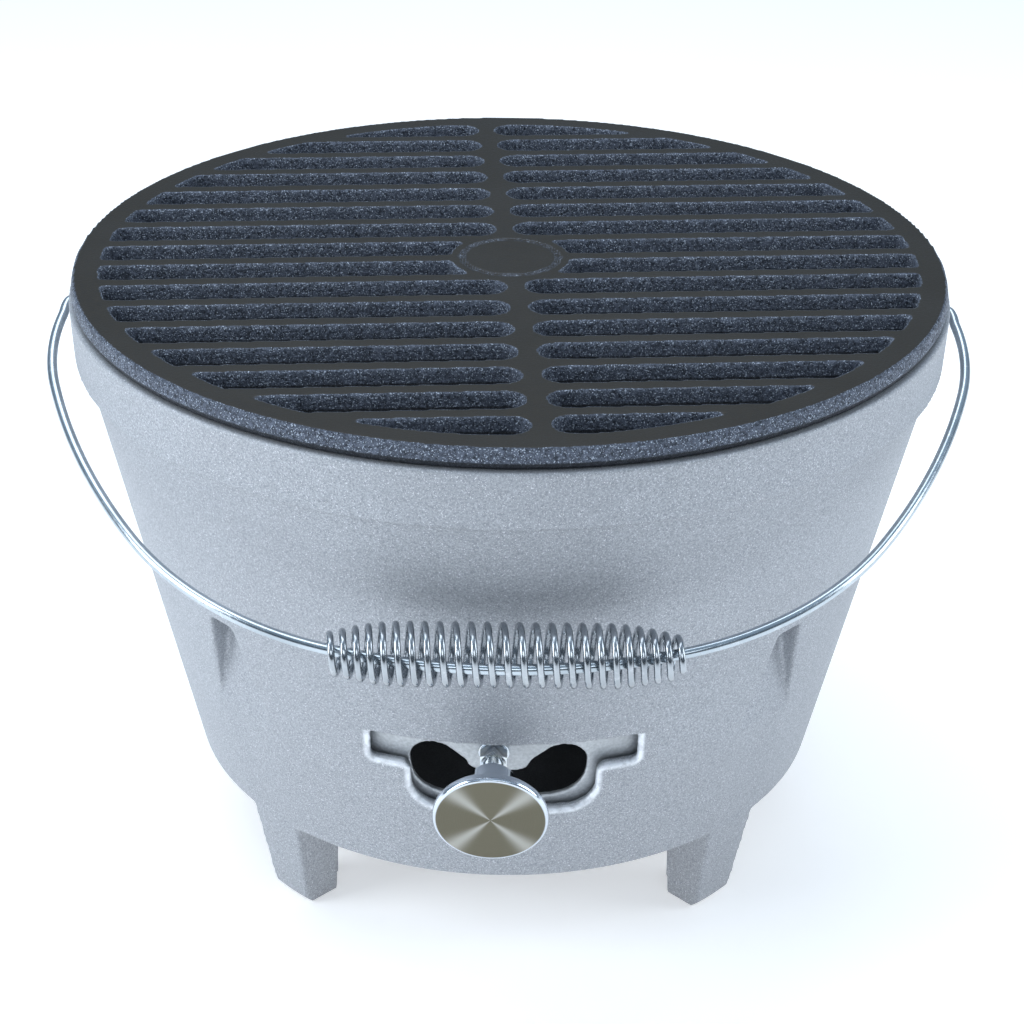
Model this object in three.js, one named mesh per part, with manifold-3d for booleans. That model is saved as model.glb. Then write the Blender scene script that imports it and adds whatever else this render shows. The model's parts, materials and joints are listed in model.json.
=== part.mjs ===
// Portable tabletop charcoal grill: a cast aluminium bowl on four legs, a cast iron cooking
// grate, a charcoal grate, a sliding air damper with its knob, and a wire bail with a coil grip.
// Millimetres, +Z up, front at -Y. The origin is the middle of the whole grill's footprint on the
// table; the bowl's axis lies a little behind it, because the bail stands out in front.
import * as THREE from 'three';
import { mergeVertices } from 'three/addons/utils/BufferGeometryUtils.js';
import Module from 'manifold-3d';

const wasm = await Module();
wasm.setup();

// ---- driving dimensions -------------------------------------------------------------------
const ROUND = 120;                  // facets round the large turned surfaces
const GAP = 0.3;                    // clearance between touching pieces
const AXIS_Y = 7.6;                 // the bowl's axis, behind the middle of the footprint

const GRATE_TOP = 246;              // overall height
const GRATE_RADIUS = 170;
const GRATE_RIM_DEPTH = 8.2;
const GRATE_DEPTH = 14;
const SLOT_ROWS = 16;
const SLOT_PITCH = 20.25;
const SLOT_WIDTH = 13.1;
const SLOT_CIRCLE = 159.5;
const STEP_RADIUS = 161.3;          // the step under the rim that centres the grate in the bowl
const CENTRE_RIB = 8;
const BOSS_RADIUS = 24;
const GRATE_TURN = 4.3;             // degrees the grate lies turned in the bowl

const FLANGE_TOP = GRATE_TOP - GRATE_RIM_DEPTH - GAP;
const FLANGE_RADIUS = 172;
const FLANGE_LOW_RADIUS = 171;
const FLANGE_BOTTOM = 215;
const CONE_TOP = 212;
const CONE_TOP_RADIUS = 166.8;
const CONE_SLOPE = 0.22;            // radius lost per millimetre of depth
const BASE_Z = 40;
const FLOOR = 6;
const WALL = 5;
const EDGE_ROUND = 3;

const LEG_ANGLES = [45, 135, 225, 315];
const LEG_TOP_HALF = 13;
const LEG_TIP_HALF = 9.7;
const LEG_TIP_RADIUS = 122;
const LEG_DEPTH = 24;

const DENT_TOP = 140.5;
const DENT_LOW = 90;
const DENT_TOP_HALF = 6;
const DENT_SPREAD = 0.195;          // half-width gained per millimetre of depth
const DENT_FLOOR = 140.6;           // distance of the dent's flat floor from the axis
const LEDGE_WALL = 4;
const STRIP_HALF = 14;
const STRIP_TOP = 97;

const BEYOND = 200;                   // a distance outside everything, for cutters

const VENT_NEAR = 120;                // the vent's cutter starts inside the bowl
const VENT_TOP = 112;
const VENT_EAR_HALF = 50;
const VENT_EAR_LOW = 98.5;
const VENT_HALF = 34.5;
const VENT_LOW = 78;
const VENT_CORNER = 11;
const VENT_ROUND = 2;                 // small corners at the ends of the ears
const VENT_SHOULDER = 4;              // concave corners under the ears

const PLATE_TOP = 119;
const PLATE_LOW = 70;
const PLATE_FROM = -21;               // degrees either side of the stud
const PLATE_TO = 24;
const PLATE_THICK = 2.5;
const PLATE_GAP = 0.5;
const RAIL_HALF_ANGLE = 38;
const RAIL = 3;
const RAIL_LIP = 4;
const RAIL_WALL = 2.5;

const HOLE_TOP = 107.5;               // the plate's opening, seen along the bowl's radius
const HOLE_LOW = 81.5;
const HOLE_HALF = 33;
const HOLE_SHIFT = 1.5;               // the stud stands a little left of the opening's middle
const LOBE_RADIUS = 9;
const TONGUE_HALF = 11.5;
const TONGUE_LOW = 95.2;

const STUD_Z = 104.5;                // height where the stud's axis meets the cone
const STUD_AZIMUTH = -1.5;
const STUD_RADIUS = 3;
const STUD_HOLE = 3.3;
const STUD_END = 20;
const NUT_FLATS = 10;
const NUT_THICK = 5;
const HEAD_THICK = 4;
const WASHER_RADIUS = 5.8;
const WASHER_THICK = 1.5;
const KNOB_BACK = 8.8;                  // where the collar starts, past a bare stretch of thread
const KNOB_FACE = 30;               // distance of the knob's face from the cone
const KNOB_RADIUS = 21;
const KNOB_DISC = 4.5;
const COLLAR_RADIUS = 8.3;

const COAL_GRATE_RADIUS = 144.5;
const COAL_GRATE_THICK = 6;
const COAL_ROWS = 9;
const COAL_PITCH = 27;
const COAL_RIM = 12;
const COAL_RIB = 12;
const COAL_SLOT = 12;

const PIVOT_Z = 226;
const BAIL_DROP = 17.8;             // degrees the bail hangs below level
const WIRE_RADIUS = 2;
const WIRE_HOLE = 2.5;
const BAIL_REACH = 191.3;           // pivot axis to the middle of the wire
const BAIL_ARCS = [[62, 230], [93, 133.8], [88.4, 275.3], [41.8, 90.5]];    // length, radius
const BAIL_SIDE_X = 175.4;
const HEAD_X = 160.5;                 // the wire's end, inside the flange
const HEAD_RADIUS = 4;
const HEAD_LENGTH = 2.5;
const COIL_REACH = 184.6;
const COIL_LENGTH = 122;
const COIL_CROWDING = 0.12;           // share by which the end turns are closer together
const COIL_WIRE = 1.25;
const COIL_RADIUS = 11.5;
const COIL_END_RADIUS = 7.6;
const COIL_TAPER = 26;
const COIL_TURNS = 24.5;

// ---- helpers ------------------------------------------------------------------------------
const radians = THREE.MathUtils.degToRad;

function solid(geometry) {
  const bare = geometry.clone();
  bare.deleteAttribute('normal');
  bare.deleteAttribute('uv');
  const merged = mergeVertices(bare, 1e-4);
  const vertProperties = new Float32Array(merged.attributes.position.array);
  const triVerts = new Uint32Array(merged.index.array);
  return new wasm.Manifold(new wasm.Mesh({ numProp: 3, vertProperties, triVerts }));
}

function geometryOf(shape) {
  const mesh = shape.getMesh();
  const geometry = new THREE.BufferGeometry();
  geometry.setAttribute('position', new THREE.BufferAttribute(mesh.vertProperties, 3));
  geometry.setIndex(new THREE.BufferAttribute(mesh.triVerts, 1));
  geometry.computeVertexNormals();
  return geometry;
}

// A turned solid about Z from [radius, z] pairs listed upwards on the outside.
function turned(points, segments = ROUND) {
  const profile = points.map(([radius, z]) => new THREE.Vector2(radius, z));
  return new THREE.LatheGeometry(profile, segments).rotateX(Math.PI / 2);
}

// A flat outline in X and Y, raised from z0 to z1.
function raised(shape, z0, z1, curveSegments = 6) {
  const options = { depth: z1 - z0, bevelEnabled: false, curveSegments };
  return new THREE.ExtrudeGeometry(shape, options).translate(0, 0, z0);
}

// A flat outline whose second coordinate is height, driven outwards along -Y from near to far.
function driven(shape, near, far, curveSegments = 6) {
  const options = { depth: far - near, bevelEnabled: false, curveSegments };
  return new THREE.ExtrudeGeometry(shape, options).rotateX(Math.PI / 2).translate(0, -near, 0);
}

function polygon(points) {
  return new THREE.Shape(points.map(([x, y]) => new THREE.Vector2(x, y)));
}

// Closes a right-hand half outline, drawn from bottom to top, with its mirror image.
function mirrored(half, shift = 0) {
  const right = half.getPoints(8);
  const left = right.slice(1, -1).reverse().map((p) => new THREE.Vector2(-p.x, p.y));
  return new THREE.Shape(right.concat(left).map((p) => new THREE.Vector2(p.x + shift, p.y)));
}

// A wedge of the disc between two azimuths, measured from the front and positive to the right.
function wedge(from, to, radius, z0, z1) {
  const shape = new THREE.Shape();
  const start = radians(from - 90);
  shape.moveTo(0, 0);
  shape.lineTo(radius * Math.cos(start), radius * Math.sin(start));
  shape.absarc(0, 0, radius, start, radians(to - 90), false);
  shape.closePath();
  return solid(raised(shape, z0, z1, 12));
}

function hexagon(flats, thick) {
  return new THREE.CylinderGeometry(flats / Math.sqrt(3), flats / Math.sqrt(3), thick, 6)
    .rotateX(Math.PI / 2);
}

function coneRadius(z) {
  return CONE_TOP_RADIUS - CONE_SLOPE * (CONE_TOP - z);
}

function named(name, geometry, color, roughness, metalness) {
  const material = new THREE.MeshStandardMaterial({ color, roughness, metalness });
  const mesh = new THREE.Mesh(geometry, material);
  mesh.name = name;
  return mesh;
}

// ---- body ---------------------------------------------------------------------------------
function bowlOutside() {
  return solid(turned([
    [0, BASE_Z],
    [coneRadius(BASE_Z) - EDGE_ROUND, BASE_Z],
    [coneRadius(BASE_Z + EDGE_ROUND), BASE_Z + EDGE_ROUND],
    [coneRadius(FLANGE_BOTTOM), FLANGE_BOTTOM],
    [FLANGE_LOW_RADIUS, FLANGE_BOTTOM],
    [FLANGE_RADIUS, FLANGE_TOP],
    [0, FLANGE_TOP],
  ]));
}

function bowlInside() {
  const floorZ = BASE_Z + FLOOR;
  return solid(turned([
    [0, floorZ],
    [coneRadius(floorZ) - WALL, floorZ],
    [coneRadius(FLANGE_BOTTOM) - WALL, FLANGE_BOTTOM],
    [coneRadius(FLANGE_BOTTOM) - WALL, FLANGE_TOP + 1],
    [0, FLANGE_TOP + 1],
  ]));
}

function dentOutline(margin) {
  const depth = DENT_TOP - DENT_LOW;
  const lowHalf = DENT_TOP_HALF + DENT_SPREAD * depth;
  return polygon([
    [-lowHalf - margin, DENT_LOW],
    [lowHalf + margin, DENT_LOW],
    [DENT_TOP_HALF + margin, DENT_TOP + margin],
    [-DENT_TOP_HALF - margin, DENT_TOP + margin],
  ]);
}

function leg() {
  const top = BASE_Z + 4;
  const outline = polygon([
    [-LEG_TIP_HALF, 0],
    [LEG_TIP_HALF, 0],
    [LEG_TOP_HALF, top],
    [-LEG_TOP_HALF, top],
  ]);
  const near = coneRadius(BASE_Z) - LEG_DEPTH;
  const post = solid(driven(outline, near, coneRadius(BASE_Z) + 5));
  const skin = solid(turned([
    [0, 0],
    [LEG_TIP_RADIUS - EDGE_ROUND, 0],
    [LEG_TIP_RADIUS, EDGE_ROUND],
    [coneRadius(top) - 0.2, top],
    [0, top],
  ]));
  return post.intersect(skin);
}

// The flat strip that runs up the cone above each leg.
function stripCutter() {
  const tilt = Math.atan(CONE_SLOPE);
  const sagitta = STRIP_HALF * STRIP_HALF / (2 * coneRadius((STRIP_TOP + BASE_Z) / 2));
  const top = STRIP_TOP;
  const low = BASE_Z - 2;
  const length = (top - low) / Math.cos(tilt);
  const box = new THREE.BoxGeometry(2 * STRIP_HALF, 10, length).translate(0, -5, 0);
  box.rotateX(tilt);
  const middle = (top + low) / 2;
  return solid(box.translate(0, -(coneRadius(middle) - sagitta), middle));
}

function ventOutline() {
  const side = VENT_HALF - VENT_CORNER;
  const shoulder = VENT_HALF + VENT_SHOULDER;
  const end = VENT_EAR_HALF - VENT_ROUND;
  const down = -Math.PI / 2;
  const half = new THREE.Path();
  half.moveTo(0, VENT_LOW);
  half.lineTo(side, VENT_LOW);
  half.absarc(side, VENT_LOW + VENT_CORNER, VENT_CORNER, down, 0, false);
  half.lineTo(VENT_HALF, VENT_EAR_LOW - VENT_SHOULDER);
  half.absarc(shoulder, VENT_EAR_LOW - VENT_SHOULDER, VENT_SHOULDER, Math.PI, -down, true);
  half.lineTo(end, VENT_EAR_LOW);
  half.absarc(end, VENT_EAR_LOW + VENT_ROUND, VENT_ROUND, down, 0, false);
  half.lineTo(VENT_EAR_HALF, VENT_TOP);
  half.lineTo(0, VENT_TOP);
  return mirrored(half);
}

// A channel cast inside the wall, closed towards the cone: direction 1 opens upwards.
function plateRail(z, direction) {
  const inset = PLATE_GAP + PLATE_THICK + PLATE_GAP;
  const far = z - direction * RAIL;
  const lip = z + direction * RAIL_LIP;
  const wallAt = (height) => coneRadius(height) - WALL;
  const outline = [
    [wallAt(far) + 1, far],
    [wallAt(z) + 1, z],
    [wallAt(z) - inset, z],
    [wallAt(lip) - inset, lip],
    [wallAt(lip) - inset - RAIL_WALL, lip],
    [wallAt(far) - inset - RAIL_WALL, far],
    [wallAt(far) + 1, far],
  ];
  const ring = solid(turned(direction > 0 ? outline : outline.reverse()));
  return ring.intersect(wedge(-RAIL_HALF_ANGLE, RAIL_HALF_ANGLE, BEYOND, 0, GRATE_TOP));
}

function makeBody() {
  const outside = bowlOutside();
  let body = outside.subtract(bowlInside());
  for (const angle of LEG_ANGLES) {
    const boss = solid(driven(dentOutline(LEDGE_WALL), DENT_FLOOR - LEDGE_WALL, BEYOND));
    const dent = solid(driven(dentOutline(0), DENT_FLOOR, BEYOND));
    body = body.add(boss.rotate([0, 0, angle]).intersect(outside));
    body = body.subtract(dent.rotate([0, 0, angle]));
    body = body.subtract(stripCutter().rotate([0, 0, angle]));
    body = body.add(leg().rotate([0, 0, angle]));
  }
  body = body.add(plateRail(PLATE_LOW - GAP, 1));
  body = body.add(plateRail(PLATE_TOP + GAP, -1));
  body = body.subtract(solid(driven(ventOutline(), VENT_NEAR, BEYOND)));
  const bore = new THREE.CylinderGeometry(WIRE_HOLE, WIRE_HOLE, 2 * BEYOND, 16).rotateZ(Math.PI / 2);
  body = body.subtract(solid(bore.translate(0, 0, PIVOT_Z)));
  return named('body', geometryOf(body), 0x9fa8b8, 0.5, 0.9);
}

// ---- grates -------------------------------------------------------------------------------
// Half a row: a slot from the central rib, round at its inner end, out to a circle.
function halfSlot(row, width, inner, circle) {
  const half = width / 2;
  const shape = new THREE.Shape();
  const lowX = Math.sqrt(circle * circle - (row - half) ** 2);
  const highX = Math.sqrt(circle * circle - (row + half) ** 2);
  shape.moveTo(inner + half, row - half);
  shape.lineTo(lowX, row - half);
  const from = Math.atan2(row - half, lowX);
  const to = Math.atan2(row + half, highX);
  shape.absarc(0, 0, circle, from, to, false);
  shape.lineTo(inner + half, row + half);
  shape.absarc(inner + half, row, half, Math.PI / 2, 1.5 * Math.PI, false);
  return shape;
}

function slotted(blank, rows, pitch, width, inner, circle, z0, z1) {
  let plate = blank;
  for (let i = 0; i < rows; i += 1) {
    const row = ((rows - 1) / 2 - i) * pitch;
    const slot = solid(raised(halfSlot(row, width, inner, circle), z0, z1, 5));
    plate = plate.subtract(slot);
    plate = plate.subtract(slot.rotate([0, 0, 180]));
  }
  return plate;
}

function makeCookingGrate() {
  const low = GRATE_TOP - GRATE_DEPTH;
  const blank = solid(turned([
    [0, low],
    [STEP_RADIUS - 0.4, low],
    [STEP_RADIUS, GRATE_TOP - GRATE_RIM_DEPTH],
    [GRATE_RADIUS - 0.5, GRATE_TOP - GRATE_RIM_DEPTH],
    [GRATE_RADIUS + 1, GRATE_TOP - 5],
    [GRATE_RADIUS, GRATE_TOP],
    [0, GRATE_TOP],
  ]));
  const slotArgs = [SLOT_ROWS, SLOT_PITCH, SLOT_WIDTH, CENTRE_RIB / 2, SLOT_CIRCLE];
  let grate = slotted(blank, ...slotArgs, low - 1, GRATE_TOP + 1);
  const boss = new THREE.CylinderGeometry(BOSS_RADIUS, BOSS_RADIUS, GRATE_DEPTH, 40);
  boss.rotateX(Math.PI / 2).translate(0, 0, GRATE_TOP - GRATE_DEPTH / 2);
  grate = grate.add(solid(boss));
  return named('cooking_grate', geometryOf(grate.rotate([0, 0, GRATE_TURN])), 0x3c3a32, 0.7, 0.4);
}

function makeCharcoalGrate() {
  const low = DENT_TOP + LEDGE_WALL + GAP;
  const top = low + COAL_GRATE_THICK;
  const blank = solid(turned([
    [0, low],
    [COAL_GRATE_RADIUS - 1, low],
    [COAL_GRATE_RADIUS, low + 1],
    [COAL_GRATE_RADIUS, top - 1],
    [COAL_GRATE_RADIUS - 1, top],
    [0, top],
  ], 72));
  const circle = COAL_GRATE_RADIUS - COAL_RIM;
  const grate = slotted(blank, COAL_ROWS, COAL_PITCH, COAL_SLOT, COAL_RIB / 2, circle, low - 1, top + 1);
  return named('charcoal_grate', geometryOf(grate), 0x34322d, 0.8, 0.4);
}

// ---- damper -------------------------------------------------------------------------------
function plateHole() {
  const lobeX = HOLE_HALF - LOBE_RADIUS;
  const lobeZ = HOLE_TOP - LOBE_RADIUS;
  const half = new THREE.Path();
  half.moveTo(0, HOLE_LOW);
  half.lineTo(lobeX - LOBE_RADIUS, HOLE_LOW);
  half.bezierCurveTo(lobeX + 4, HOLE_LOW, HOLE_HALF, HOLE_LOW + 5, HOLE_HALF, lobeZ);
  half.absarc(lobeX, lobeZ, LOBE_RADIUS, 0, radians(135), false);
  half.bezierCurveTo(TONGUE_HALF + 3.1, lobeZ + 3.7, TONGUE_HALF + 0.7, lobeZ + 2.3,
    TONGUE_HALF, lobeZ);
  half.bezierCurveTo(TONGUE_HALF - 0.5, TONGUE_LOW + 1, TONGUE_HALF - 2.5, TONGUE_LOW,
    TONGUE_HALF - 6, TONGUE_LOW);
  half.lineTo(0, TONGUE_LOW);
  return mirrored(half, HOLE_SHIFT);
}

// Turns a shape built along +Z onto the stud's axis: local z = 0 lies on the cone's surface.
function onStud(geometry) {
  const tilt = Math.atan(CONE_SLOPE);
  geometry.rotateX(Math.PI / 2 + tilt);
  geometry.translate(0, -coneRadius(STUD_Z), STUD_Z);
  return geometry.rotateZ(radians(STUD_AZIMUTH));
}

const wallNormal = WALL * Math.cos(Math.atan(CONE_SLOPE));
const plateFront = -wallNormal - PLATE_GAP;
const plateBack = plateFront - PLATE_THICK;
const washerBack = plateFront + GAP;
const nutBack = washerBack + WASHER_THICK + GAP;

function makeDamperPlate() {
  const radiusAt = (z) => coneRadius(z) - WALL - PLATE_GAP;
  const ring = solid(turned([
    [radiusAt(PLATE_LOW) - PLATE_THICK, PLATE_LOW],
    [radiusAt(PLATE_LOW), PLATE_LOW],
    [radiusAt(PLATE_TOP), PLATE_TOP],
    [radiusAt(PLATE_TOP) - PLATE_THICK, PLATE_TOP],
    [radiusAt(PLATE_LOW) - PLATE_THICK, PLATE_LOW],
  ]));
  let plate = ring.intersect(wedge(PLATE_FROM, PLATE_TO, BEYOND, 0, GRATE_TOP));
  plate = plate.subtract(solid(driven(plateHole(), VENT_NEAR, BEYOND)));
  plate = plate.rotate([0, 0, STUD_AZIMUTH]);
  const bore = new THREE.CylinderGeometry(STUD_HOLE, STUD_HOLE, 40, 16).rotateX(Math.PI / 2);
  plate = plate.subtract(solid(onStud(bore)));
  return named('damper_plate', geometryOf(plate), 0xa3a8b0, 0.5, 0.9);
}

function makeDamperBolt() {
  const headMiddle = plateBack - GAP - HEAD_THICK / 2;
  const head = solid(hexagon(NUT_FLATS, HEAD_THICK).translate(0, 0, headMiddle));
  const length = STUD_END - headMiddle;
  const shank = new THREE.CylinderGeometry(STUD_RADIUS, STUD_RADIUS, length, 16);
  shank.rotateX(Math.PI / 2).translate(0, 0, headMiddle + length / 2);
  const bolt = geometryOf(head.add(solid(shank)));
  return named('damper_bolt', onStud(bolt), 0xb4b8bc, 0.35, 1);
}

function ringPiece(name, outer, inner, z0, thick, segments) {
  const ring = turned([[inner, z0], [outer, z0], [outer, z0 + thick], [inner, z0 + thick],
    [inner, z0]], segments);
  return named(name, onStud(geometryOf(solid(ring))), 0xb9c0c6, 0.3, 1);
}

function makeDamperNut() {
  const middle = nutBack + NUT_THICK / 2;
  const block = solid(hexagon(NUT_FLATS, NUT_THICK).translate(0, 0, middle));
  const bore = new THREE.CylinderGeometry(STUD_HOLE, STUD_HOLE, 20, 16);
  const nut = block.subtract(solid(bore.rotateX(Math.PI / 2).translate(0, 0, middle)));
  return named('damper_nut', onStud(geometryOf(nut)), 0xb9c0c6, 0.3, 1);
}

function makeKnob() {
  const discBack = KNOB_FACE - KNOB_DISC;
  const profile = [
    [0, STUD_END + 1],
    [STUD_HOLE, STUD_END + 1],
    [STUD_HOLE, KNOB_BACK],
    [COLLAR_RADIUS, KNOB_BACK],
    [COLLAR_RADIUS, discBack - 4],
    [COLLAR_RADIUS + 3, discBack],
    [KNOB_RADIUS - 2, discBack],
    [KNOB_RADIUS, discBack + 2],
    [KNOB_RADIUS, KNOB_FACE - 2],
    [KNOB_RADIUS - 1.5, KNOB_FACE],
    [0, KNOB_FACE],
  ];
  return named('damper_knob', onStud(turned(profile, 48)), 0xc8c6bd, 0.3, 1);
}

// ---- bail ---------------------------------------------------------------------------------
// The wire's centreline from its middle to its right-hand end, as [x, reach] points.
function bailHalf() {
  const points = [[0, BAIL_REACH]];
  let heading = 0;
  let [x, reach] = points[0];
  for (const [length, radius] of BAIL_ARCS) {
    const steps = Math.round(length / 10);
    for (let i = 0; i < steps; i += 1) {
      const turn = length / steps / radius;
      heading += turn / 2;
      x += length / steps * Math.cos(heading);
      reach -= length / steps * Math.sin(heading);
      heading += turn / 2;
      points.push([x, reach]);
    }
  }
  return points;
}

class Bail extends THREE.Curve {
  constructor() {
    super();
    const half = bailHalf();
    const end = [[BAIL_SIDE_X, 4.6], [BAIL_SIDE_X - 1, 1.5], [BAIL_SIDE_X - 3.4, 0],
      [HEAD_X + 4, 0], [HEAD_X, 0]];
    const right = half.concat(end).map(([x, reach]) => new THREE.Vector3(x, -reach, 0));
    const left = right.slice(1).reverse().map((p) => new THREE.Vector3(-p.x, p.y, 0));
    this.line = new THREE.CatmullRomCurve3(left.concat(right), false, 'centripetal');
  }

  getPoint(t, target = new THREE.Vector3()) {
    return this.line.getPoint(t, target);
  }
}

function roundSection(radius, sides) {
  const points = [];
  for (let i = 0; i < sides; i += 1) {
    const angle = 2 * Math.PI * i / sides;
    points.push(new THREE.Vector2(radius * Math.cos(angle), radius * Math.sin(angle)));
  }
  return new THREE.Shape(points);
}

function hung(geometry) {
  return geometry.rotateX(radians(BAIL_DROP)).translate(0, 0, PIVOT_Z);
}

function makeBailWire() {
  const section = roundSection(WIRE_RADIUS, 8);
  const options = { steps: 130, bevelEnabled: false, extrudePath: new Bail() };
  let wire = solid(new THREE.ExtrudeGeometry(section, options));
  for (const side of [-1, 1]) {
    const head = new THREE.CylinderGeometry(HEAD_RADIUS, HEAD_RADIUS, HEAD_LENGTH, 16);
    head.rotateZ(Math.PI / 2);
    wire = wire.add(solid(head.translate(side * (HEAD_X - 0.9), 0, 0)));
  }
  return named('bail_wire', hung(geometryOf(wire)), 0x8d979b, 0.3, 1);
}

class Coil extends THREE.Curve {
  getPoint(t, target = new THREE.Vector3()) {
    const along = t - 0.5;
    const crowding = COIL_CROWDING * Math.sin(2 * Math.PI * along) / (2 * Math.PI);
    const x = COIL_LENGTH * (along + crowding);
    const fromEnd = COIL_LENGTH / 2 - Math.abs(x);
    const swell = Math.sin(Math.min(fromEnd / COIL_TAPER, 1) * Math.PI / 2);
    const radius = THREE.MathUtils.lerp(COIL_END_RADIUS, COIL_RADIUS, swell) - COIL_WIRE;
    const angle = 2 * Math.PI * COIL_TURNS * t;
    return target.set(x, radius * Math.cos(angle) - COIL_REACH, radius * Math.sin(angle));
  }
}

function makeCoilGrip() {
  const section = roundSection(COIL_WIRE, 5);
  const steps = Math.round(COIL_TURNS * 13);
  const options = { steps, bevelEnabled: false, extrudePath: new Coil() };
  const coil = solid(new THREE.ExtrudeGeometry(section, options));
  return named('coil_grip', hung(geometryOf(coil)), 0xaab2b8, 0.3, 1);
}

// ---- assembly -----------------------------------------------------------------------------
const grill = new THREE.Group();
grill.position.y = AXIS_Y;
grill.add(makeBody(), makeCookingGrate(), makeCharcoalGrate());
grill.add(makeDamperPlate(), makeDamperBolt());
grill.add(ringPiece('damper_washer', WASHER_RADIUS, STUD_HOLE, washerBack, WASHER_THICK, 24));
grill.add(makeDamperNut(), makeKnob());
grill.add(makeBailWire(), makeCoilGrip());

export default grill;
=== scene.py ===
import json
import math

import bmesh
import bpy
import numpy as np
from mathutils import Matrix, Vector


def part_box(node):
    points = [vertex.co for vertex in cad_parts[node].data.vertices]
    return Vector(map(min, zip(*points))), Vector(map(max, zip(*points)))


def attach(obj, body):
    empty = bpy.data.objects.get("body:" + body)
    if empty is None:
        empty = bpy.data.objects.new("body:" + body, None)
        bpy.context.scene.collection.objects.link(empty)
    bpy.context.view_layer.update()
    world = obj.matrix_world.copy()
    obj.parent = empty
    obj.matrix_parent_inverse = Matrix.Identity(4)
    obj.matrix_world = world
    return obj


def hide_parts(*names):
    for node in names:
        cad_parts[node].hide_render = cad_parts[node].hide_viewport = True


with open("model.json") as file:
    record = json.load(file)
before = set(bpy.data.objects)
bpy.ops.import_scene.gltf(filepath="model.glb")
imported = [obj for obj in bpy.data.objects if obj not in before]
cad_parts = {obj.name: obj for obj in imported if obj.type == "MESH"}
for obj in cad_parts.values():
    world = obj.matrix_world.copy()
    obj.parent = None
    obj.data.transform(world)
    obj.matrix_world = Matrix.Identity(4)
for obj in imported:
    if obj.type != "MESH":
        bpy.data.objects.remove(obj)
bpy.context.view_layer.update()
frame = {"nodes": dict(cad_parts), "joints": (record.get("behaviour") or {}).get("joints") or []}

JOINTS = {joint["name"]: joint for joint in frame["joints"]}
SCENE = bpy.context.scene

# ---- sizes, in metres --------------------------------------------------------------------
MM = 0.001
AXIS_Y = JOINTS["bail_swing"]["pos_m"][1]      # the bowl's axis of revolution
PIVOT_Z = JOINTS["bail_swing"]["pos_m"][2]
GRATE_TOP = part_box("cooking_grate")[1].z
FACETS = 120                                   # facets round the CAD's large turned surfaces
GRATE_TURN = math.radians(4.3)

CONE_SLOPE = 0.22                              # the bowl's wall: radius gained per height
CONE_HIGH = 0.212                              # the height where the wall meets the flange
CONE_HIGH_RADIUS = 0.1668
CONE_TILT = math.atan(CONE_SLOPE)
WALL_DEPTH = 0.0047                            # just under the wall's thickness along a radius
DENT_BACK = 0.139                              # distance of a dent's inner face from the axis
PAINTED_SHADE_LOW = 0.142                               # the height from which the painted interior shade covers the dents too
FLOOR_TOP = 0.0442                             # the bowl's floor, which the painted interior shade starts above
STUD_POINT = (0.0, -0.14315, 0.1045)           # where the stud's axis meets the cone
STUD_AZIMUTH = math.radians(-1.5)
WASHER_BACK = -5.083 * MM                      # distances along the stud from the cone
NUT_BACK = -3.283 * MM
KNOB_BACK = 8.8 * MM
KNOB_FACE = 30 * MM
KNOB_DISC = 4.5 * MM
NUT_FLATS = 10 * MM
NUT_BORE = 3.3 * MM
NUT_THICK = 5 * MM
WASHER_RADIUS = 5.8 * MM
WASHER_THICK = 1.5 * MM
STUD_END = 20 * MM

VENT_TOP = 112                                 # the opening in the bowl's wall, in mm
VENT_EAR_HALF = 50
VENT_EAR_LOW = 98.5
VENT_HALF = 34.5
VENT_LOW = 78
VENT_CORNER = 11
VENT_SHOULDER = 4
VENT_ROUND = 2

BAIL_DROP = math.radians(17.8)
BAIL_REACH = 191.3
BAIL_ARCS = ((62, 230), (93, 133.8), (88.4, 275.3), (41.8, 90.5))   # length, radius in mm
BAIL_END = ((175.4, 4.6), (174.4, 1.5), (172.0, 0), (164.5, 0), (159.2, 0))
WIRE_RADIUS = 2 * MM
HEAD_RADIUS = 4 * MM
HEAD_HALF = 1.25 * MM
HEAD_X = 159.6 * MM
COIL_REACH = 184.6
COIL_LENGTH = 122
COIL_CROWDING = 0.12
COIL_TURNS = 24.5
COIL_WIRE = 1.25
COIL_RADIUS = 11.5
COIL_END_RADIUS = 7.6
COIL_TAPER = 26


# ---- mesh helpers --------------------------------------------------------------------------
def add_object(name, mesh, matrix=None):
    obj = bpy.data.objects.new(name, mesh)
    SCENE.collection.objects.link(obj)
    if matrix is not None:
        obj.matrix_world = matrix
    return obj


def shade_smooth(mesh):
    mesh.polygons.foreach_set("use_smooth", [True] * len(mesh.polygons))
    mesh.update()


def apply_modifiers(obj):
    bpy.context.view_layer.update()
    evaluated = obj.evaluated_get(bpy.context.evaluated_depsgraph_get())
    mesh = bpy.data.meshes.new_from_object(evaluated)
    obj.modifiers.clear()
    obj.data = mesh
    return obj


def finish_piece(obj, body, node, material, smooth=True):
    """Dress a piece, hang it on its body and let it stand for its CAD node."""
    obj.data.materials.clear()
    obj.data.materials.append(material)
    if smooth:
        shade_smooth(obj.data)
    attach(obj, body)
    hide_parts(node)
    return obj


def coordinates(mesh):
    points = np.zeros(len(mesh.vertices) * 3)
    mesh.vertices.foreach_get("co", points)
    return points.reshape(-1, 3)


def set_coordinates(mesh, points):
    mesh.vertices.foreach_set("co", points.ravel())
    mesh.update()


def make_round(mesh, turn=0.0):
    """Move a turned surface's flat facets out to the circle that they stand for."""
    points = coordinates(mesh)
    x, y = points[:, 0], points[:, 1] - AXIS_Y
    step = 2 * math.pi / FACETS
    offset = np.mod(np.arctan2(y, x) - turn, step) - step / 2
    factor = np.cos(offset) / math.cos(step / 2)
    points[:, 0] = x * factor
    points[:, 1] = AXIS_Y + y * factor
    set_coordinates(mesh, points)


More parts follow.
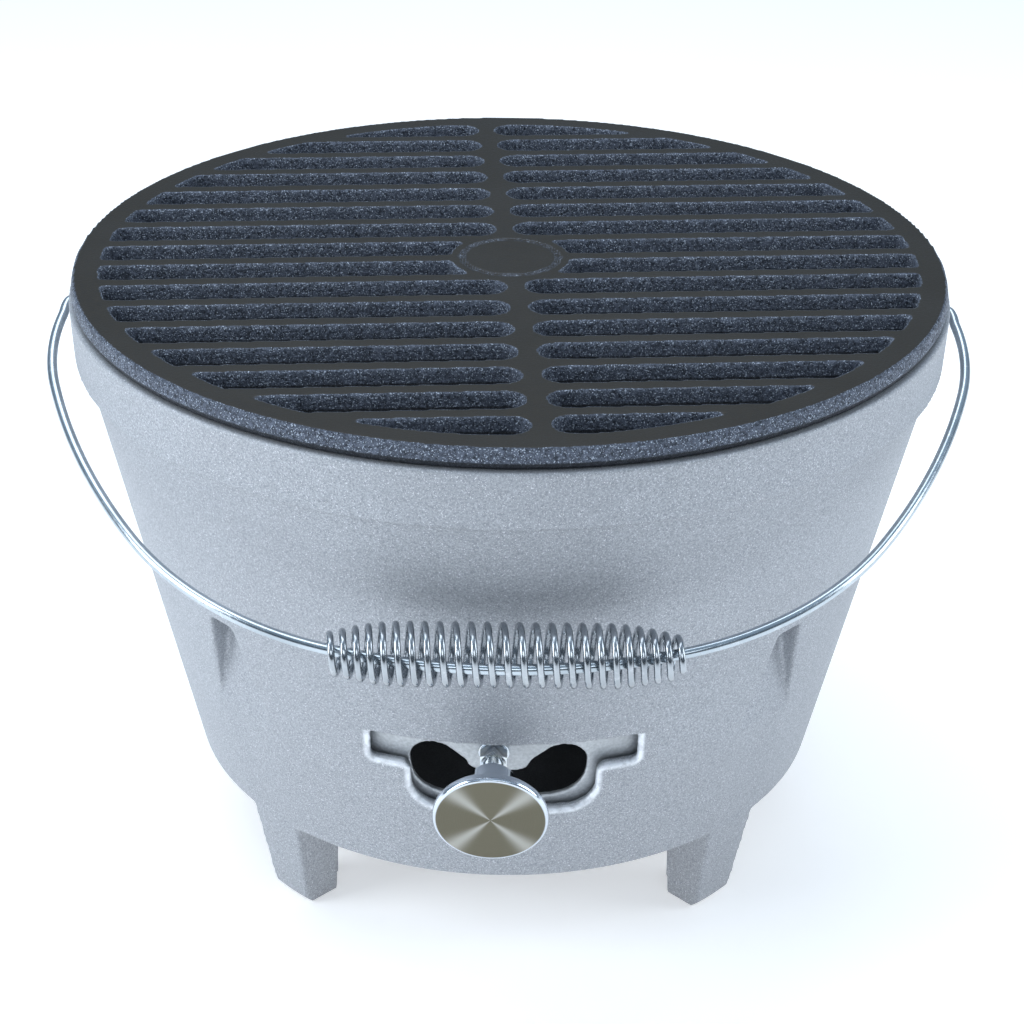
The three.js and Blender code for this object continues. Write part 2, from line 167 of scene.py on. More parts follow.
def cast_copy(name, node, voxel, smoothing):
    """A casting's skin: the CAD solid remeshed finely and relaxed, so its edges are rounded."""
    obj = add_object(name, frame["nodes"][node].data.copy())
    remesh = obj.modifiers.new("skin", "REMESH")
    remesh.mode = "VOXEL"
    remesh.voxel_size = voxel
    relax = obj.modifiers.new("relax", "SMOOTH")
    relax.factor = 0.5
    relax.iterations = smoothing
    return apply_modifiers(obj)


def tube(name, points, radius, sides, matrix=None):
    """A round wire along a polyline, with domed ends."""
    points = [Vector(p) for p in points]
    bm = bmesh.new()
    tangent = (points[1] - points[0]).normalized()
    normal = tangent.orthogonal().normalized()
    rings = []
    for i, point in enumerate(points):
        ahead = points[min(i + 1, len(points) - 1)]
        behind = points[max(i - 1, 0)]
        tangent = (ahead - behind).normalized()
        normal = (normal - tangent * normal.dot(tangent)).normalized()
        side = tangent.cross(normal)
        ring = []
        for k in range(sides):
            angle = 2 * math.pi * k / sides
            offset = normal * math.cos(angle) + side * math.sin(angle)
            ring.append(bm.verts.new(point + offset * radius))
        rings.append(ring)
        if i in (0, len(points) - 1):
            outward = -tangent if i == 0 else tangent
            dome = []
            for vert in ring:
                dome.append(bm.verts.new(point + (vert.co - point) * 0.6 + outward * radius * 0.4))
            rings.insert(0 if i == 0 else len(rings), dome)
    for first, second in zip(rings, rings[1:]):
        for k in range(sides):
            following = (k + 1) % sides
            bm.faces.new((first[k], first[following], second[following], second[k]))
    bm.faces.new(list(reversed(rings[0])))
    bm.faces.new(rings[-1])
    bmesh.ops.recalc_face_normals(bm, faces=bm.faces)
    mesh = bpy.data.meshes.new(name)
    bm.to_mesh(mesh)
    bm.free()
    return add_object(name, mesh, matrix)


def ring_stack(name, rings, sides, matrix=None):
    """A closed solid from rings of (radius, height) functions of the angle; radius 0 closes."""
    bm = bmesh.new()
    loops = []
    for ring in rings:
        loop = []
        for k in range(sides):
            angle = 2 * math.pi * k / sides
            radius, height = ring(angle)
            if radius == 0:
                loop = [bm.verts.new((0, 0, height))]
                break
            loop.append(bm.verts.new((radius * math.cos(angle), radius * math.sin(angle), height)))
        loops.append(loop)
    pairs = list(zip(loops, loops[1:]))
    if len(loops[0]) > 1:
        pairs.append((loops[-1], loops[0]))
    for first, second in pairs:
        for k in range(sides):
            following = (k + 1) % sides
            corners = []
            for loop, index in ((first, k), (first, following), (second, following), (second, k)):
                vert = loop[index % len(loop)]
                if vert not in corners:
                    corners.append(vert)
            bm.faces.new(corners)
    bmesh.ops.recalc_face_normals(bm, faces=bm.faces)
    mesh = bpy.data.meshes.new(name)
    bm.to_mesh(mesh)
    bm.free()
    return add_object(name, mesh, matrix)


def profile_rings(profile):
    return [lambda angle, point=point: point for point in profile]


def rounded(profile, radius, steps=4):
    """A turned profile with each inner corner of the list replaced by a small curve."""
    result = [profile[0]]
    for before, corner, after in zip(profile, profile[1:], profile[2:]):
        corner_v = Vector(corner)
        to_before = Vector(before) - corner_v
        to_after = Vector(after) - corner_v
        reach = min(radius, to_before.length * 0.45, to_after.length * 0.45)
        start = corner_v + to_before.normalized() * reach
        end = corner_v + to_after.normalized() * reach
        for i in range(steps + 1):
            t = i / steps
            result.append(tuple(start * (1 - t) ** 2 + corner_v * 2 * t * (1 - t) + end * t ** 2))
    result.append(profile[-1])
    return result


# ---- material helpers ----------------------------------------------------------------------
class Graph:
    """A small builder for one node material in the piece's own coordinates."""

    def __init__(self, name):
        self.material = bpy.data.materials.new(name)
        self.material.use_nodes = True
        self.tree = self.material.node_tree
        self.shader = self.tree.nodes["Principled BSDF"]
        self.place = self.node("ShaderNodeTexCoord").outputs["Object"]

    def node(self, kind, inputs=(), **settings):
        made = self.tree.nodes.new(kind)
        for key, value in settings.items():
            setattr(made, key, value)
        for key, value in dict(inputs).items():
            self.put(made.inputs[key], value)
        return made

    def put(self, socket, value):
        if isinstance(value, bpy.types.NodeSocket):
            self.tree.links.new(value, socket)
        else:
            socket.default_value = value

    def set(self, **values):
        for key, value in values.items():
            self.put(self.shader.inputs[key.replace("_", " ")], value)

    def noise(self, scale, detail=2.0, roughness=0.5, where=None):
        inputs = {"Vector": where or self.place, "Scale": scale, "Detail": detail,
                  "Roughness": roughness}
        return self.node("ShaderNodeTexNoise", inputs).outputs["Fac"]

    def ramp(self, value, low, high, out_low=0.0, out_high=1.0):
        inputs = {"Value": value, "From Min": low, "From Max": high, "To Min": out_low,
                  "To Max": out_high}
        return self.node("ShaderNodeMapRange", inputs).outputs["Result"]

    def mix(self, factor, first, second):
        made = self.node("ShaderNodeMix", data_type="RGBA")
        for index, value in ((0, factor), (6, first), (7, second)):
            self.put(made.inputs[index], value)
        return made.outputs[2]

    def math(self, operation, first, second=0.0):
        made = self.node("ShaderNodeMath", operation=operation)
        self.put(made.inputs[0], first)
        self.put(made.inputs[1], second)
        return made.outputs[0]

    def bump(self, height, strength, distance, under=None):
        inputs = {"Height": height, "Strength": strength, "Distance": distance}
        if under is not None:
            inputs["Normal"] = under
        return self.node("ShaderNodeBump", inputs).outputs["Normal"]

    def up(self):
        """1 on surfaces that face straight up."""
        normal = self.node("ShaderNodeNewGeometry").outputs["Normal"]
        return self.node("ShaderNodeSeparateXYZ", {"Vector": normal}).outputs["Z"]

    def height(self):
        return self.node("ShaderNodeSeparateXYZ", {"Vector": self.place}).outputs["Z"]


def grey(value, blue=0.0):
    return (value, value * (1 + 0.4 * blue), value * (1 + blue), 1.0)


def cast_aluminium():
    """Sand-cast skin: fine light and dark grain, painted glints, faint clouds and flow marks, a worn
    vent edge with a painted highlight, and painted shade on the bowl's inner wall.
    """
    g = Graph("cast_aluminium")
    grain = g.noise(1300, 3.0, 0.65)
    clouds = g.noise(14, 3.0)
    # Painted highlight: tiny near-white glints mixed into the base colour.
    painted_glints = g.ramp(g.noise(2400, 1.0), 0.63, 0.70)
    base = g.mix(g.ramp(grain, 0.32, 0.68), (0.30, 0.315, 0.34, 1), (0.50, 0.52, 0.555, 1))
    base = g.mix(g.ramp(clouds, 0.35, 0.7, 0.0, 0.3), base, (0.34, 0.35, 0.375, 1))
    base = g.mix(g.math("MULTIPLY", painted_glints, 0.7), base, (0.95, 0.96, 0.98, 1))
    rough = g.ramp(grain, 0.3, 0.7, 0.68, 0.54)
    # Worn vent edge: the lower roughness is real wear, but its near-white colour is a painted
    # highlight.
    worn_and_highlight = g.node("ShaderNodeAttribute", attribute_name="worn_and_highlight").outputs["Fac"]
    patchy_worn_highlight = g.math("MULTIPLY", worn_and_highlight, g.ramp(g.noise(300, 3.0), 0.35, 0.55, 0.6, 1.0))
    base = g.mix(patchy_worn_highlight, base, (0.92, 0.95, 0.99, 1))
    rough = g.math("SUBTRACT", rough, g.math("MULTIPLY", patchy_worn_highlight, 0.28))
    parts = g.node("ShaderNodeSeparateXYZ", {"Vector": g.place})
    x, y, z = (parts.outputs[axis] for axis in "XYZ")
    y = g.math("SUBTRACT", y, AXIS_Y)
    radius = g.math("SQRT", g.math("ADD", g.math("MULTIPLY", x, x), g.math("MULTIPLY", y, y)))
    wall = g.math("ADD", g.math("MULTIPLY", z, CONE_SLOPE), cone_radius(0.0))
    inside = g.ramp(g.math("SUBTRACT", wall, radius), WALL_DEPTH, WALL_DEPTH + 0.0003)
    across = g.math("MAXIMUM", g.math("ABSOLUTE", g.math("ADD", x, y)),
                    g.math("ABSOLUTE", g.math("SUBTRACT", x, y)))
    behind_dents = g.ramp(g.math("DIVIDE", across, math.sqrt(2)), DENT_BACK, DENT_BACK - 0.001)
    above_dents = g.ramp(z, PAINTED_SHADE_LOW, PAINTED_SHADE_LOW + 0.001)
    inside = g.math("MULTIPLY", inside, g.math("MAXIMUM", behind_dents, above_dents))
    above_floor = g.ramp(z, FLOOR_TOP, FLOOR_TOP + 0.001)
    # Painted shade: the inner wall above the floor is painted near black with less metal, standing in
    # for the dark inside of the bowl.
    painted_interior_shade = g.math("MULTIPLY", g.math("MULTIPLY", inside, above_floor),
                  g.ramp(g.noise(30, 4.0), 0.2, 0.7, 0.97, 0.88))
    base = g.mix(painted_interior_shade, base, (0.006, 0.006, 0.006, 1))
    metal = g.math("SUBTRACT", 0.58, g.math("MULTIPLY", painted_interior_shade, 0.52))
    normal = g.bump(g.noise(120, 2.0), 0.10, 0.001)
    normal = g.bump(grain, 0.42, 0.0004, normal)
    g.set(Base_Color=base, Metallic=metal, Roughness=rough, Normal=normal)
    return g.material


def cast_plate():
    """The damper's casting: a little warmer and more even than the bowl."""
    g = Graph("damper_casting")
    grain = g.noise(800, 3.0, 0.6)
    clouds = g.noise(40, 2.0)
    base = g.mix(g.ramp(grain, 0.3, 0.7), (0.42, 0.44, 0.46, 1), (0.60, 0.62, 0.64, 1))
    base = g.mix(g.ramp(clouds, 0.35, 0.65, 0, 0.3), base, (0.47, 0.48, 0.49, 1))
    normal = g.bump(grain, 0.4, 0.0004)
    g.set(Base_Color=base, Metallic=0.72, Roughness=g.ramp(clouds, 0.3, 0.7, 0.4, 0.52),
          Normal=normal)
    return g.material


def grate_iron(name, top_z, low_z):
    """Cast iron: grainy blue-black walls with painted glints and painted shade low down, and bar tops
    ground smooth and brown.
    """
    g = Graph(name)
    grain = g.noise(760, 4.0, 0.7)
    clouds = g.noise(22, 3.0)
    # Painted highlight: tiny pale glints mixed into the wall colour.
    painted_glints = g.ramp(g.noise(1900, 1.0), 0.61, 0.68)
    walls = g.mix(g.ramp(grain, 0.35, 0.65), (0.022, 0.028, 0.040, 1), (0.135, 0.160, 0.215, 1))
    walls = g.mix(g.math("MULTIPLY", painted_glints, 0.75), walls, (0.62, 0.70, 0.82, 1))
    fine = g.noise(900, 2.0)
    tops = g.mix(g.ramp(fine, 0.3, 0.7), (0.014, 0.011, 0.007, 1), (0.027, 0.022, 0.015, 1))
    tops = g.mix(g.ramp(clouds, 0.4, 0.7, 0.0, 0.5), tops, (0.031, 0.028, 0.024, 1))
    ground = g.math("MULTIPLY", g.ramp(g.up(), 0.9, 0.985),
                    g.ramp(g.height(), top_z - 0.0012, top_z - 0.0004))
    # Painted shade: the walls below low_z are darkened nearly to black.
    painted_low_shade = g.ramp(g.height(), low_z, low_z - 0.0006)
    walls = g.mix(g.math("MULTIPLY", painted_low_shade, 0.85), walls, (0.010, 0.011, 0.014, 1))
    base = g.mix(ground, walls, tops)
    rough = g.mix(ground, g.ramp(grain, 0.3, 0.7, 0.62, 0.38), g.ramp(fine, 0.3, 0.7, 0.46, 0.58))
    rough_value = g.node("ShaderNodeRGBToBW", {"Color": rough}).outputs["Val"]
    depth = g.math("SUBTRACT", 1.0, g.math("MULTIPLY", ground, 0.9))
    normal = g.bump(g.math("MULTIPLY", grain, depth), 1.0, 0.0011)
    g.set(Base_Color=base, Metallic=0.4, Roughness=rough_value, Normal=normal)
    return g.material


def wire_steel(name, dark, light, roughness):
    """Drawn, zinc-plated wire with soft clouds and small bright scuffs."""
    g = Graph(name)
    scuffs = g.noise(300, 4.0, 0.7)
    clouds = g.noise(35, 2.0)
    base = g.mix(g.ramp(clouds, 0.3, 0.7), dark, light)
    base = g.mix(g.ramp(scuffs, 0.55, 0.75, 0.0, 0.4), base, grey(0.85, 0.04))
    rough = g.ramp(scuffs, 0.3, 0.75, roughness, roughness + 0.12)
    g.set(Base_Color=base, Metallic=1.0, Roughness=rough, Normal=g.bump(scuffs, 0.05, 0.0001))
    return g.material


def turned_steel():
    """Turned steel: concentric tool lines on a face whose beige tint is a painted reflection and
    whose four bright rays are painted highlights, polished beyond.
    """
    g = Graph("turned_steel")
    parts = g.node("ShaderNodeSeparateXYZ", {"Vector": g.place})
    x, y, z = (parts.outputs[axis] for axis in "XYZ")
    radius = g.math("SQRT", g.math("ADD", g.math("MULTIPLY", x, x), g.math("MULTIPLY", y, y)))
    along = g.node("ShaderNodeCombineXYZ", {"X": g.math("MULTIPLY", radius, 60.0)})
    lines = g.noise(90, 6.0, 0.8, along.outputs["Vector"])
    face = g.math("MULTIPLY", g.ramp(radius, 0.0200, 0.0196), g.ramp(z, 0.0285, 0.0292))
    # Painted reflection: the face's beige tint, varied by the tool lines, is a brown surface mirrored
    # in the steel.
    painted_face_reflection = g.mix(g.ramp(lines, 0.3, 0.7), (0.115, 0.105, 0.075, 1), (0.185, 0.172, 0.128, 1))
    # Painted highlight: four bright rays across the face.
    turn = g.math("MULTIPLY", g.math("ARCTAN2", y, x), 2.0)
    painted_highlight_rays = g.math("POWER", g.math("ABSOLUTE", g.math("SINE", turn)), 14.0)
    painted_face_reflection = g.mix(g.math("MULTIPLY", painted_highlight_rays, 0.8), painted_face_reflection, (0.46, 0.455, 0.42, 1))
    base = g.mix(face, (0.66, 0.71, 0.78, 1), painted_face_reflection)
    rough = g.ramp(face, 0.0, 1.0, 0.14, 0.30)
    normal = g.bump(g.math("MULTIPLY", lines, face), 0.12, 0.0002)
    tangent = g.node("ShaderNodeTangent", direction_type="RADIAL", axis="Z")
    g.set(Base_Color=base, Metallic=1.0, Roughness=rough, Normal=normal,
          Anisotropic=g.math("MULTIPLY", face, 0.85), Tangent=tangent.outputs["Tangent"])
    return g.material


def zinc_plate():
    """Bright zinc on small fasteners, with faint bluish and yellowish bloom."""
    g = Graph("zinc_plate")
    bloom = g.noise(220, 3.0)
    scratches = g.noise(900, 4.0, 0.75)
    base = g.mix(g.ramp(bloom, 0.3, 0.7), (0.56, 0.64, 0.74, 1), (0.80, 0.80, 0.76, 1))
    rough = g.ramp(scratches, 0.3, 0.7, 0.14, 0.24)
    g.set(Base_Color=base, Metallic=1.0, Roughness=rough, Normal=g.bump(scratches, 0.04, 0.0001))
    return g.material


# ---- castings ------------------------------------------------------------------------------
def make_castings():
    aluminium = cast_aluminium()
    body = cast_copy("bowl_casting", "body", 1.0 * MM, 3)
    make_round(body.data)
    round_vent_edge(body.data, 2.6 * MM, 1.6 * MM)
    finish_piece(body, "bowl", "body", aluminium)

    grate = cast_copy("cooking_grate_casting", "cooking_grate", 1.0 * MM, 2)
    make_round(grate.data, GRATE_TURN)
    engrave_ring(grate.data, 18 * MM, 19.6 * MM, 0.7 * MM)
    finish_piece(grate, "top_grate", "cooking_grate",
                 grate_iron("grate_iron", GRATE_TOP, GRATE_TOP - 0.0052))

    coal = cast_copy("charcoal_grate_casting", "charcoal_grate", 1.3 * MM, 2)
    coal_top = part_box("charcoal_grate")[1].z
    finish_piece(coal, "coal_grate", "charcoal_grate",
                 grate_iron("coal_iron", coal_top + 1, coal_top - 1))

    plate = cast_copy("damper_casting", "damper_plate", 0.6 * MM, 3)
    finish_piece(plate, "damper", "damper_plate", cast_plate())


def vent_outline():
    """The opening's outline as height and half-width, from the top down and in to the middle."""
    points = [(VENT_EAR_HALF, VENT_TOP)]

    def arc(x, z, radius, start, end):
        for i in range(9):
            angle = math.radians(start + (end - start) * i / 8)
            points.append((x + radius * math.cos(angle), z + radius * math.sin(angle)))

    arc(VENT_EAR_HALF - VENT_ROUND, VENT_EAR_LOW + VENT_ROUND, VENT_ROUND, 0, -90)
    arc(VENT_HALF + VENT_SHOULDER, VENT_EAR_LOW - VENT_SHOULDER, VENT_SHOULDER, 90, 180)
    arc(VENT_HALF - VENT_CORNER, VENT_LOW + VENT_CORNER, VENT_CORNER, 0, -90)
    points.append((0, VENT_LOW))
    return np.array(points) * MM


def round_vent_edge(mesh, width, depth):
    """The broad, polished round on the outer edge of the opening, below and at the ears, and the mask
    of its worn band, which the material also paints near-white as a highlight.
    """
    points = coordinates(mesh)
    y = points[:, 1] - AXIS_Y
    near = (y < 0) & (abs(points[:, 0]) < 0.06) & (points[:, 2] > 0.07)
    near &= points[:, 2] < VENT_TOP * MM
    chosen = np.nonzero(near)[0]
    flat = np.column_stack((abs(points[chosen, 0]), points[chosen, 2]))
    outline = vent_outline()
    distance = np.full(len(chosen), 1.0)
    for start, end in zip(outline, outline[1:]):
        span = end - start
        along = np.clip(((flat - start) @ span) / (span @ span), 0, 1)
        gap = flat - start - along[:, None] * span
        distance = np.minimum(distance, np.hypot(gap[:, 0], gap[:, 1]))
    radius = np.hypot(points[chosen, 0], y[chosen])
    surface = cone_radius(points[chosen, 2])
    shell = np.clip(1 - (surface - radius) / (3 * MM), 0, 1)
    fall = np.clip(1 - distance / width, 0, 1)
    push = depth * (1 - np.sqrt(np.clip(1 - fall ** 2, 0, 1))) * shell
    factor = (radius - push) / radius
    points[chosen, 0] *= factor
    points[chosen, 1] = AXIS_Y + y[chosen] * factor
    set_coordinates(mesh, points)
    # Mask of the worn band, used both for real wear and for a painted highlight.
    worn_and_highlight = np.zeros(len(points))
    worn_and_highlight[chosen] = np.clip(2.2 * fall, 0, 1) * np.clip(shell * 1.5, 0, 1)
    attribute = mesh.attributes.new("worn_and_highlight", "FLOAT", "POINT")
    attribute.data.foreach_set("value", worn_and_highlight)


def cone_radius(height):
    """The radius of the bowl's outer wall at a height."""
    return CONE_HIGH_RADIUS - CONE_SLOPE * (CONE_HIGH - height)


def engrave_ring(mesh, inner, outer, depth):
    """A plain shallow ring cut in the flat top of the grate's centre boss."""
    points = coordinates(mesh)
    radius = np.hypot(points[:, 0], points[:, 1] - AXIS_Y)
    inside = (radius > inner) & (radius < outer) & (points[:, 2] > GRATE_TOP - 0.3 * MM)
    points[inside, 2] -= depth
    set_coordinates(mesh, points)


# ---- damper hardware -----------------------------------------------------------------------
def stud_frame():
    """The matrix whose local Z runs outwards along the stud from the cone's surface."""
    axis = Matrix.Translation((0, AXIS_Y, 0)) @ Matrix.Rotation(STUD_AZIMUTH, 4, "Z")
    lean = Matrix.Rotation(math.pi / 2 + CONE_TILT, 4, "X")
    return axis @ Matrix.Translation(STUD_POINT) @ lean


def hexagon_radius(angle, flats):
    sixth = math.pi / 3
    return flats / 2 / math.cos((angle + sixth / 2) % sixth - sixth / 2)


def nut_rings(flats, bore, thick, back):
    """A hexagon nut whose corners are chamfered by a cone at both ends."""
    def side(height, sign):
        def ring(angle):
            radius = hexagon_radius(angle, flats)
            return radius, height + sign * (radius - flats / 2 * 0.96) * math.tan(math.pi / 6)
        return ring

    front = back + thick
    edge = flats / 2 * 0.95
    chamfer = 0.5 * MM
    low = [(bore, back + chamfer), (bore + chamfer, back), (edge, back)]
    high = [(edge, front), (bore + chamfer, front), (bore, front - chamfer)]
    return profile_rings(low) + [side(back, 1), side(front, -1)] + profile_rings(high)


def make_hardware():
    zinc = zinc_plate()
    place = stud_frame()
    nut = ring_stack("nut_m6", nut_rings(NUT_FLATS, NUT_BORE, NUT_THICK, NUT_BACK), 72, place)
    bevel = nut.modifiers.new("edges", "BEVEL")
    bevel.width = 0.12 * MM
    bevel.segments = 2
    finish_piece(apply_modifiers(nut), "damper", "damper_nut", zinc, False)

    front = WASHER_BACK + WASHER_THICK
    section = [(NUT_BORE, WASHER_BACK + WASHER_THICK / 2), (NUT_BORE, WASHER_BACK),
               (WASHER_RADIUS, WASHER_BACK), (WASHER_RADIUS, front), (NUT_BORE, front),
               (NUT_BORE, WASHER_BACK + WASHER_THICK * 0.6)]
    washer = ring_stack("washer_m6", profile_rings(rounded(section, 0.35 * MM)), 64, place)
    finish_piece(washer, "damper", "damper_washer", zinc)

    make_bolt(zinc, place)

    back, face = KNOB_BACK / MM, KNOB_FACE / MM
    disc = face - KNOB_DISC / MM
    profile = ((0, 21), (3.3, 21), (3.3, back + 1), (4.1, back + 0.1), (7.9, back),
               (8.3, back + 1), (8.3, disc - 4), (9.2, disc - 1.4), (11.3, disc), (20, disc),
               (21, disc + 1.2), (21, face - 1.4), (20.6, face - 0.4), (19.9, face - 0.1),
               (0, face - 0.1))
    profile = [(radius * MM, height * MM) for radius, height in profile]
    rings = profile_rings(rounded(profile, 0.8 * MM))
    knob = ring_stack("turned_knob", rings, 128, place)
    finish_piece(knob, "damper", "damper_knob", turned_steel())


def make_bolt(zinc, place):
    """The hexagon head inside the bowl and the threaded shank that the knob screws onto."""
    head_back = -12.183 * MM
    head_front = -8.183 * MM
    pitch = 1.0 * MM
    crest, root = 3.0 * MM, 2.45 * MM

    def flats(height):
        def ring(angle):
            return hexagon_radius(angle, NUT_FLATS), height
        return ring

    rings = profile_rings([(0, head_back), (4.3 * MM, head_back)])
    rings += [flats(head_back + 0.5 * MM), flats(head_front)]
    rings += profile_rings([(crest, head_front), (crest, WASHER_BACK)])
    turns = int((STUD_END - WASHER_BACK) / pitch) - 1
    for i in range(turns):
        low = WASHER_BACK + (i + 0.3) * pitch
        rings += profile_rings([(root, low), (crest, low + pitch / 2)])
    rings += profile_rings([(root, STUD_END - 0.2 * MM), (0, STUD_END)])
    bolt = ring_stack("bolt_m6", rings, 48, place)
    finish_piece(bolt, "damper", "damper_bolt", zinc, False)


# ---- bail and grip -------------------------------------------------------------------------
def hung_frame():
    """The bail's plane: local -Y is the reach from the pivot axis."""
    return Matrix.Translation((0, AXIS_Y, PIVOT_Z)) @ Matrix.Rotation(BAIL_DROP, 4, "X")


def bail_points():
    """The wire's centreline from one end to the other, in its own plane."""
    x, reach, heading = 0.0, BAIL_REACH, 0.0
    half = [(x, reach)]
    for length, radius in BAIL_ARCS:
        steps = round(length / 3)
        for _ in range(steps):
            turn = length / steps / radius
            heading += turn / 2
            x += length / steps * math.cos(heading)
            reach -= length / steps * math.sin(heading)
            heading += turn / 2
            half.append((x, reach))
    half += smooth_corner([half[-1]] + list(BAIL_END))
    right = [(x * MM, -reach * MM, 0) for x, reach in half]
    left = [(-x, y, z) for x, y, z in reversed(right[1:])]
    return left + right


def smooth_corner(points, steps=6):
    """Centripetal Catmull-Rom points between the given ones, after the first."""
    padded = [Vector(points[0]) * 2 - Vector(points[1])] + [Vector(p) for p in points]
    padded.append(Vector(points[-1]) * 2 - Vector(points[-2]))
    result = []
    for p0, p1, p2, p3 in zip(padded, padded[1:], padded[2:], padded[3:]):
        t1 = (p1 - p0).length ** 0.5
        t2 = t1 + (p2 - p1).length ** 0.5
        t3 = t2 + (p3 - p2).length ** 0.5
        for i in range(1, steps + 1):
            t = t1 + (t2 - t1) * i / steps
            a1 = p0 * ((t1 - t) / t1) + p1 * (t / t1)
            a2 = p1 * ((t2 - t) / (t2 - t1)) + p2 * ((t - t1) / (t2 - t1))
            a3 = p2 * ((t3 - t) / (t3 - t2)) + p3 * ((t - t2) / (t3 - t2))
            b1 = a1 * ((t2 - t) / t2) + a2 * (t / t2)
            b2 = a2 * ((t3 - t) / (t3 - t1)) + a3 * ((t - t1) / (t3 - t1))
            result.append(tuple(b1 * ((t2 - t) / (t2 - t1)) + b2 * ((t - t1) / (t2 - t1))))
    return result


def coil_points(steps_per_turn=26):
    points = []
    steps = round(COIL_TURNS * steps_per_turn)
    for i in range(steps + 1):
        t = i / steps
        crowding = COIL_CROWDING * math.sin(2 * math.pi * (t - 0.5)) / (2 * math.pi)
        x = COIL_LENGTH * (t - 0.5 + crowding)
        swell = math.sin(min((COIL_LENGTH / 2 - abs(x)) / COIL_TAPER, 1) * math.pi / 2)
        radius = COIL_END_RADIUS + (COIL_RADIUS - COIL_END_RADIUS) * swell - COIL_WIRE
        angle = 2 * math.pi * COIL_TURNS * t
        y = radius * math.cos(angle) - COIL_REACH
        points.append((x * MM, y * MM, radius * math.sin(angle) * MM))
    return points


def make_bail():
    steel = wire_steel("bail_steel", (0.40, 0.45, 0.49, 1), (0.56, 0.62, 0.67, 1), 0.14)
    place = hung_frame()
    pieces = [tube("bail_wire_drawn", bail_points(), WIRE_RADIUS, 16, place)]
    section = [(0, -HEAD_HALF), (HEAD_RADIUS, -HEAD_HALF), (HEAD_RADIUS, HEAD_HALF), (0, HEAD_HALF)]
    rings = profile_rings(rounded(section, 0.8 * MM))
    for name, x in (("bail_end_left", -HEAD_X), ("bail_end_right", HEAD_X)):
        matrix = place @ Matrix.Translation((x, 0, 0)) @ Matrix.Rotation(math.pi / 2, 4, "Y")
        pieces.append(ring_stack(name, rings, 32, matrix))
    for obj in pieces:
        finish_piece(obj, "bail", "bail_wire", steel)

    spring = wire_steel("coil_steel", (0.33, 0.355, 0.385, 1), (0.47, 0.50, 0.53, 1), 0.14)
    coil = tube("grip_coil_wound", coil_points(), COIL_WIRE * MM, 12)
    coil.data.transform(place)
    finish_piece(coil, "grip", "coil_grip", spring)


# ---- camera, light and floor ---------------------------------------------------------------
def make_camera():
    distance = 0.960
    elevation = math.radians(21.79)
    yaw, pitch, roll = (math.radians(v) for v in (0.12, 6.00, 0.75))
    offset = Vector((0, -distance * math.cos(elevation), distance * math.sin(elevation)))
    place = Vector((0, AXIS_Y, GRATE_TOP)) + offset
    forward = -offset.normalized()
    right = Vector((1, 0, 0))
    level = Matrix((right, -right.cross(forward), forward))
    turn_yaw = Matrix(((math.cos(yaw), 0, -math.sin(yaw)), (0, 1, 0),
                       (math.sin(yaw), 0, math.cos(yaw))))
    turn_pitch = Matrix(((1, 0, 0), (0, math.cos(pitch), -math.sin(pitch)),
                         (0, math.sin(pitch), math.cos(pitch))))
    turn_roll = Matrix(((math.cos(roll), -math.sin(roll), 0),
                        (math.sin(roll), math.cos(roll), 0), (0, 0, 1)))
    rows = turn_roll @ turn_pitch @ turn_yaw @ level
    axes = Matrix((rows[0], -rows[1], -rows[2])).transposed()
    data = bpy.data.cameras.new("camera")
    data.sensor_width = 36
    data.lens = 85.36
    data.clip_start = 0.01
    camera = bpy.data.objects.new("camera", data)
    SCENE.collection.objects.link(camera)
    camera.matrix_world = Matrix.Translation(place) @ axes.to_4x4()
    SCENE.camera = camera


def area_light(name, place, target, size, power, color=(0.88, 0.94, 1.0)):
    data = bpy.data.lights.new(name, "AREA")
    data.shape = "RECTANGLE"
    data.size, data.size_y = size
    data.energy = power
    data.color = color
    light = bpy.data.objects.new(name, data)
    SCENE.collection.objects.link(light)
    aim = Vector(target) - Vector(place)
    light.matrix_world = Matrix.Translation(place) @ aim.to_track_quat("-Z", "Y").to_matrix().to_4x4()


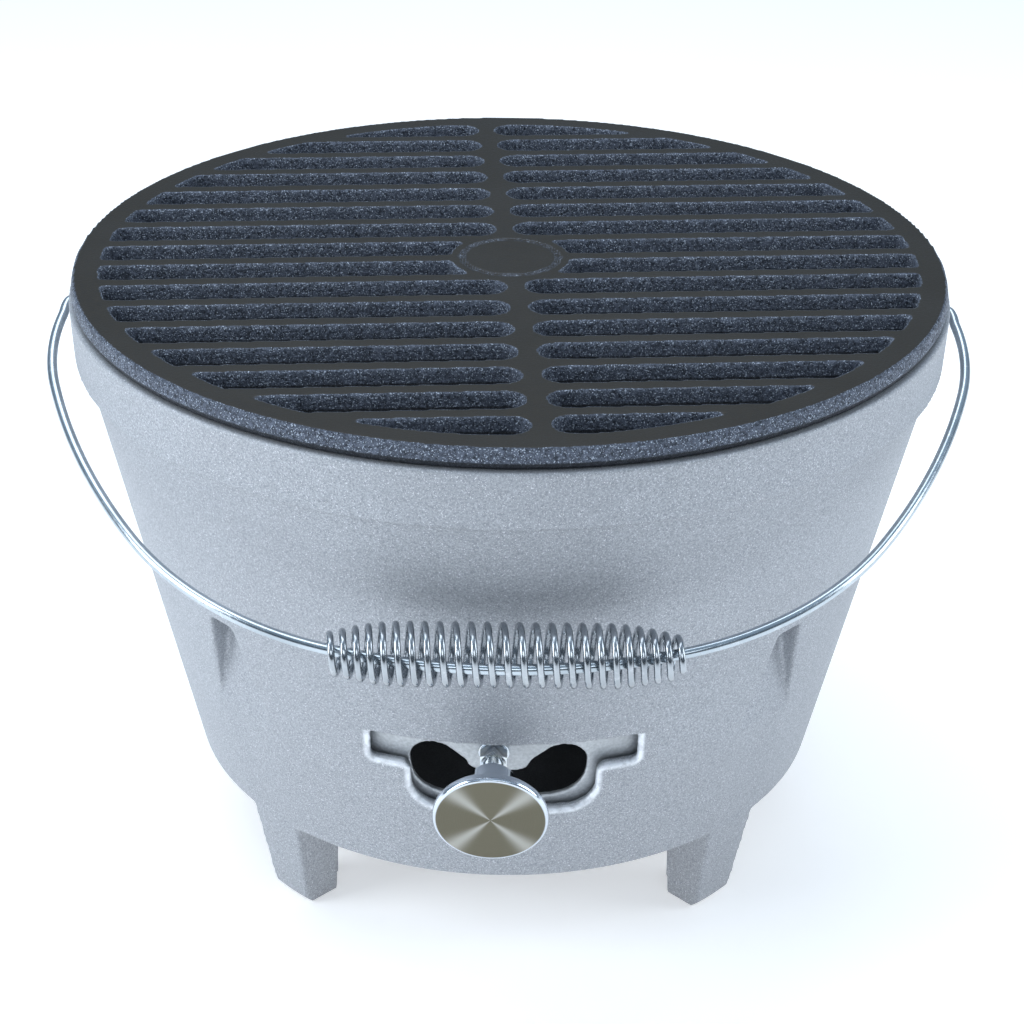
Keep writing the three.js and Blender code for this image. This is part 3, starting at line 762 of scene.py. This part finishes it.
def make_world():
    """Soft studio surround: bright and cool overhead, dimmer towards the front and below."""
    world = bpy.data.worlds.new("studio")
    world.use_nodes = True
    tree = world.node_tree
    background = tree.nodes["Background"]
    place = tree.nodes.new("ShaderNodeTexCoord")
    parts = tree.nodes.new("ShaderNodeSeparateXYZ")
    height = tree.nodes.new("ShaderNodeMapRange")
    front = tree.nodes.new("ShaderNodeMapRange")
    total = tree.nodes.new("ShaderNodeMath")
    total.operation = "ADD"
    tree.links.new(place.outputs["Generated"], parts.inputs["Vector"])
    tree.links.new(parts.outputs["Z"], height.inputs["Value"])
    tree.links.new(parts.outputs["Y"], front.inputs["Value"])
    for node, ends in ((height, (0.0, 0.9, 0.13, 0.50)), (front, (-0.9, 0.4, -0.08, 0.17))):
        for key, value in zip(("From Min", "From Max", "To Min", "To Max"), ends):
            node.inputs[key].default_value = value
    tree.links.new(height.outputs["Result"], total.inputs[0])
    tree.links.new(front.outputs["Result"], total.inputs[1])
    tree.links.new(total.outputs["Value"], background.inputs["Strength"])
    background.inputs["Color"].default_value = (0.62, 0.80, 1.0, 1)
    SCENE.world = world


def make_studio():
    make_world()
    middle = (0, 0, 0.12)
    area_light("overhead", (-0.2, 0.35, 1.6), middle, (1.6, 1.2), 14)
    area_light("left_box", (-1.3, -0.45, 0.75), middle, (0.7, 1.1), 13)
    area_light("right_box", (1.35, -0.15, 0.7), middle, (0.6, 1.0), 7)
    area_light("front_box", (0.15, -1.6, 1.25), (0, 0, 0.05), (1.6, 0.5), 6)

    floor_mesh = bpy.data.meshes.new("floor")
    bm = bmesh.new()
    bmesh.ops.create_grid(bm, x_segments=2, y_segments=2, size=60.0)
    bm.to_mesh(floor_mesh)
    bm.free()
    floor = add_object("floor", floor_mesh)
    g = Graph("pale_floor")
    tone = g.mix(g.ramp(g.noise(3, 2.0), 0.3, 0.7), (0.93, 0.93, 0.93, 1), (0.95, 0.95, 0.95, 1))
    g.set(Base_Color=tone, Roughness=0.8, Emission_Color=(1.0, 0.985, 0.96, 1),
          Emission_Strength=0.34)
    floor.data.materials.append(g.material)
    SCENE.view_settings.view_transform = "Standard"


make_camera()
make_castings()
make_hardware()
make_bail()
make_studio()
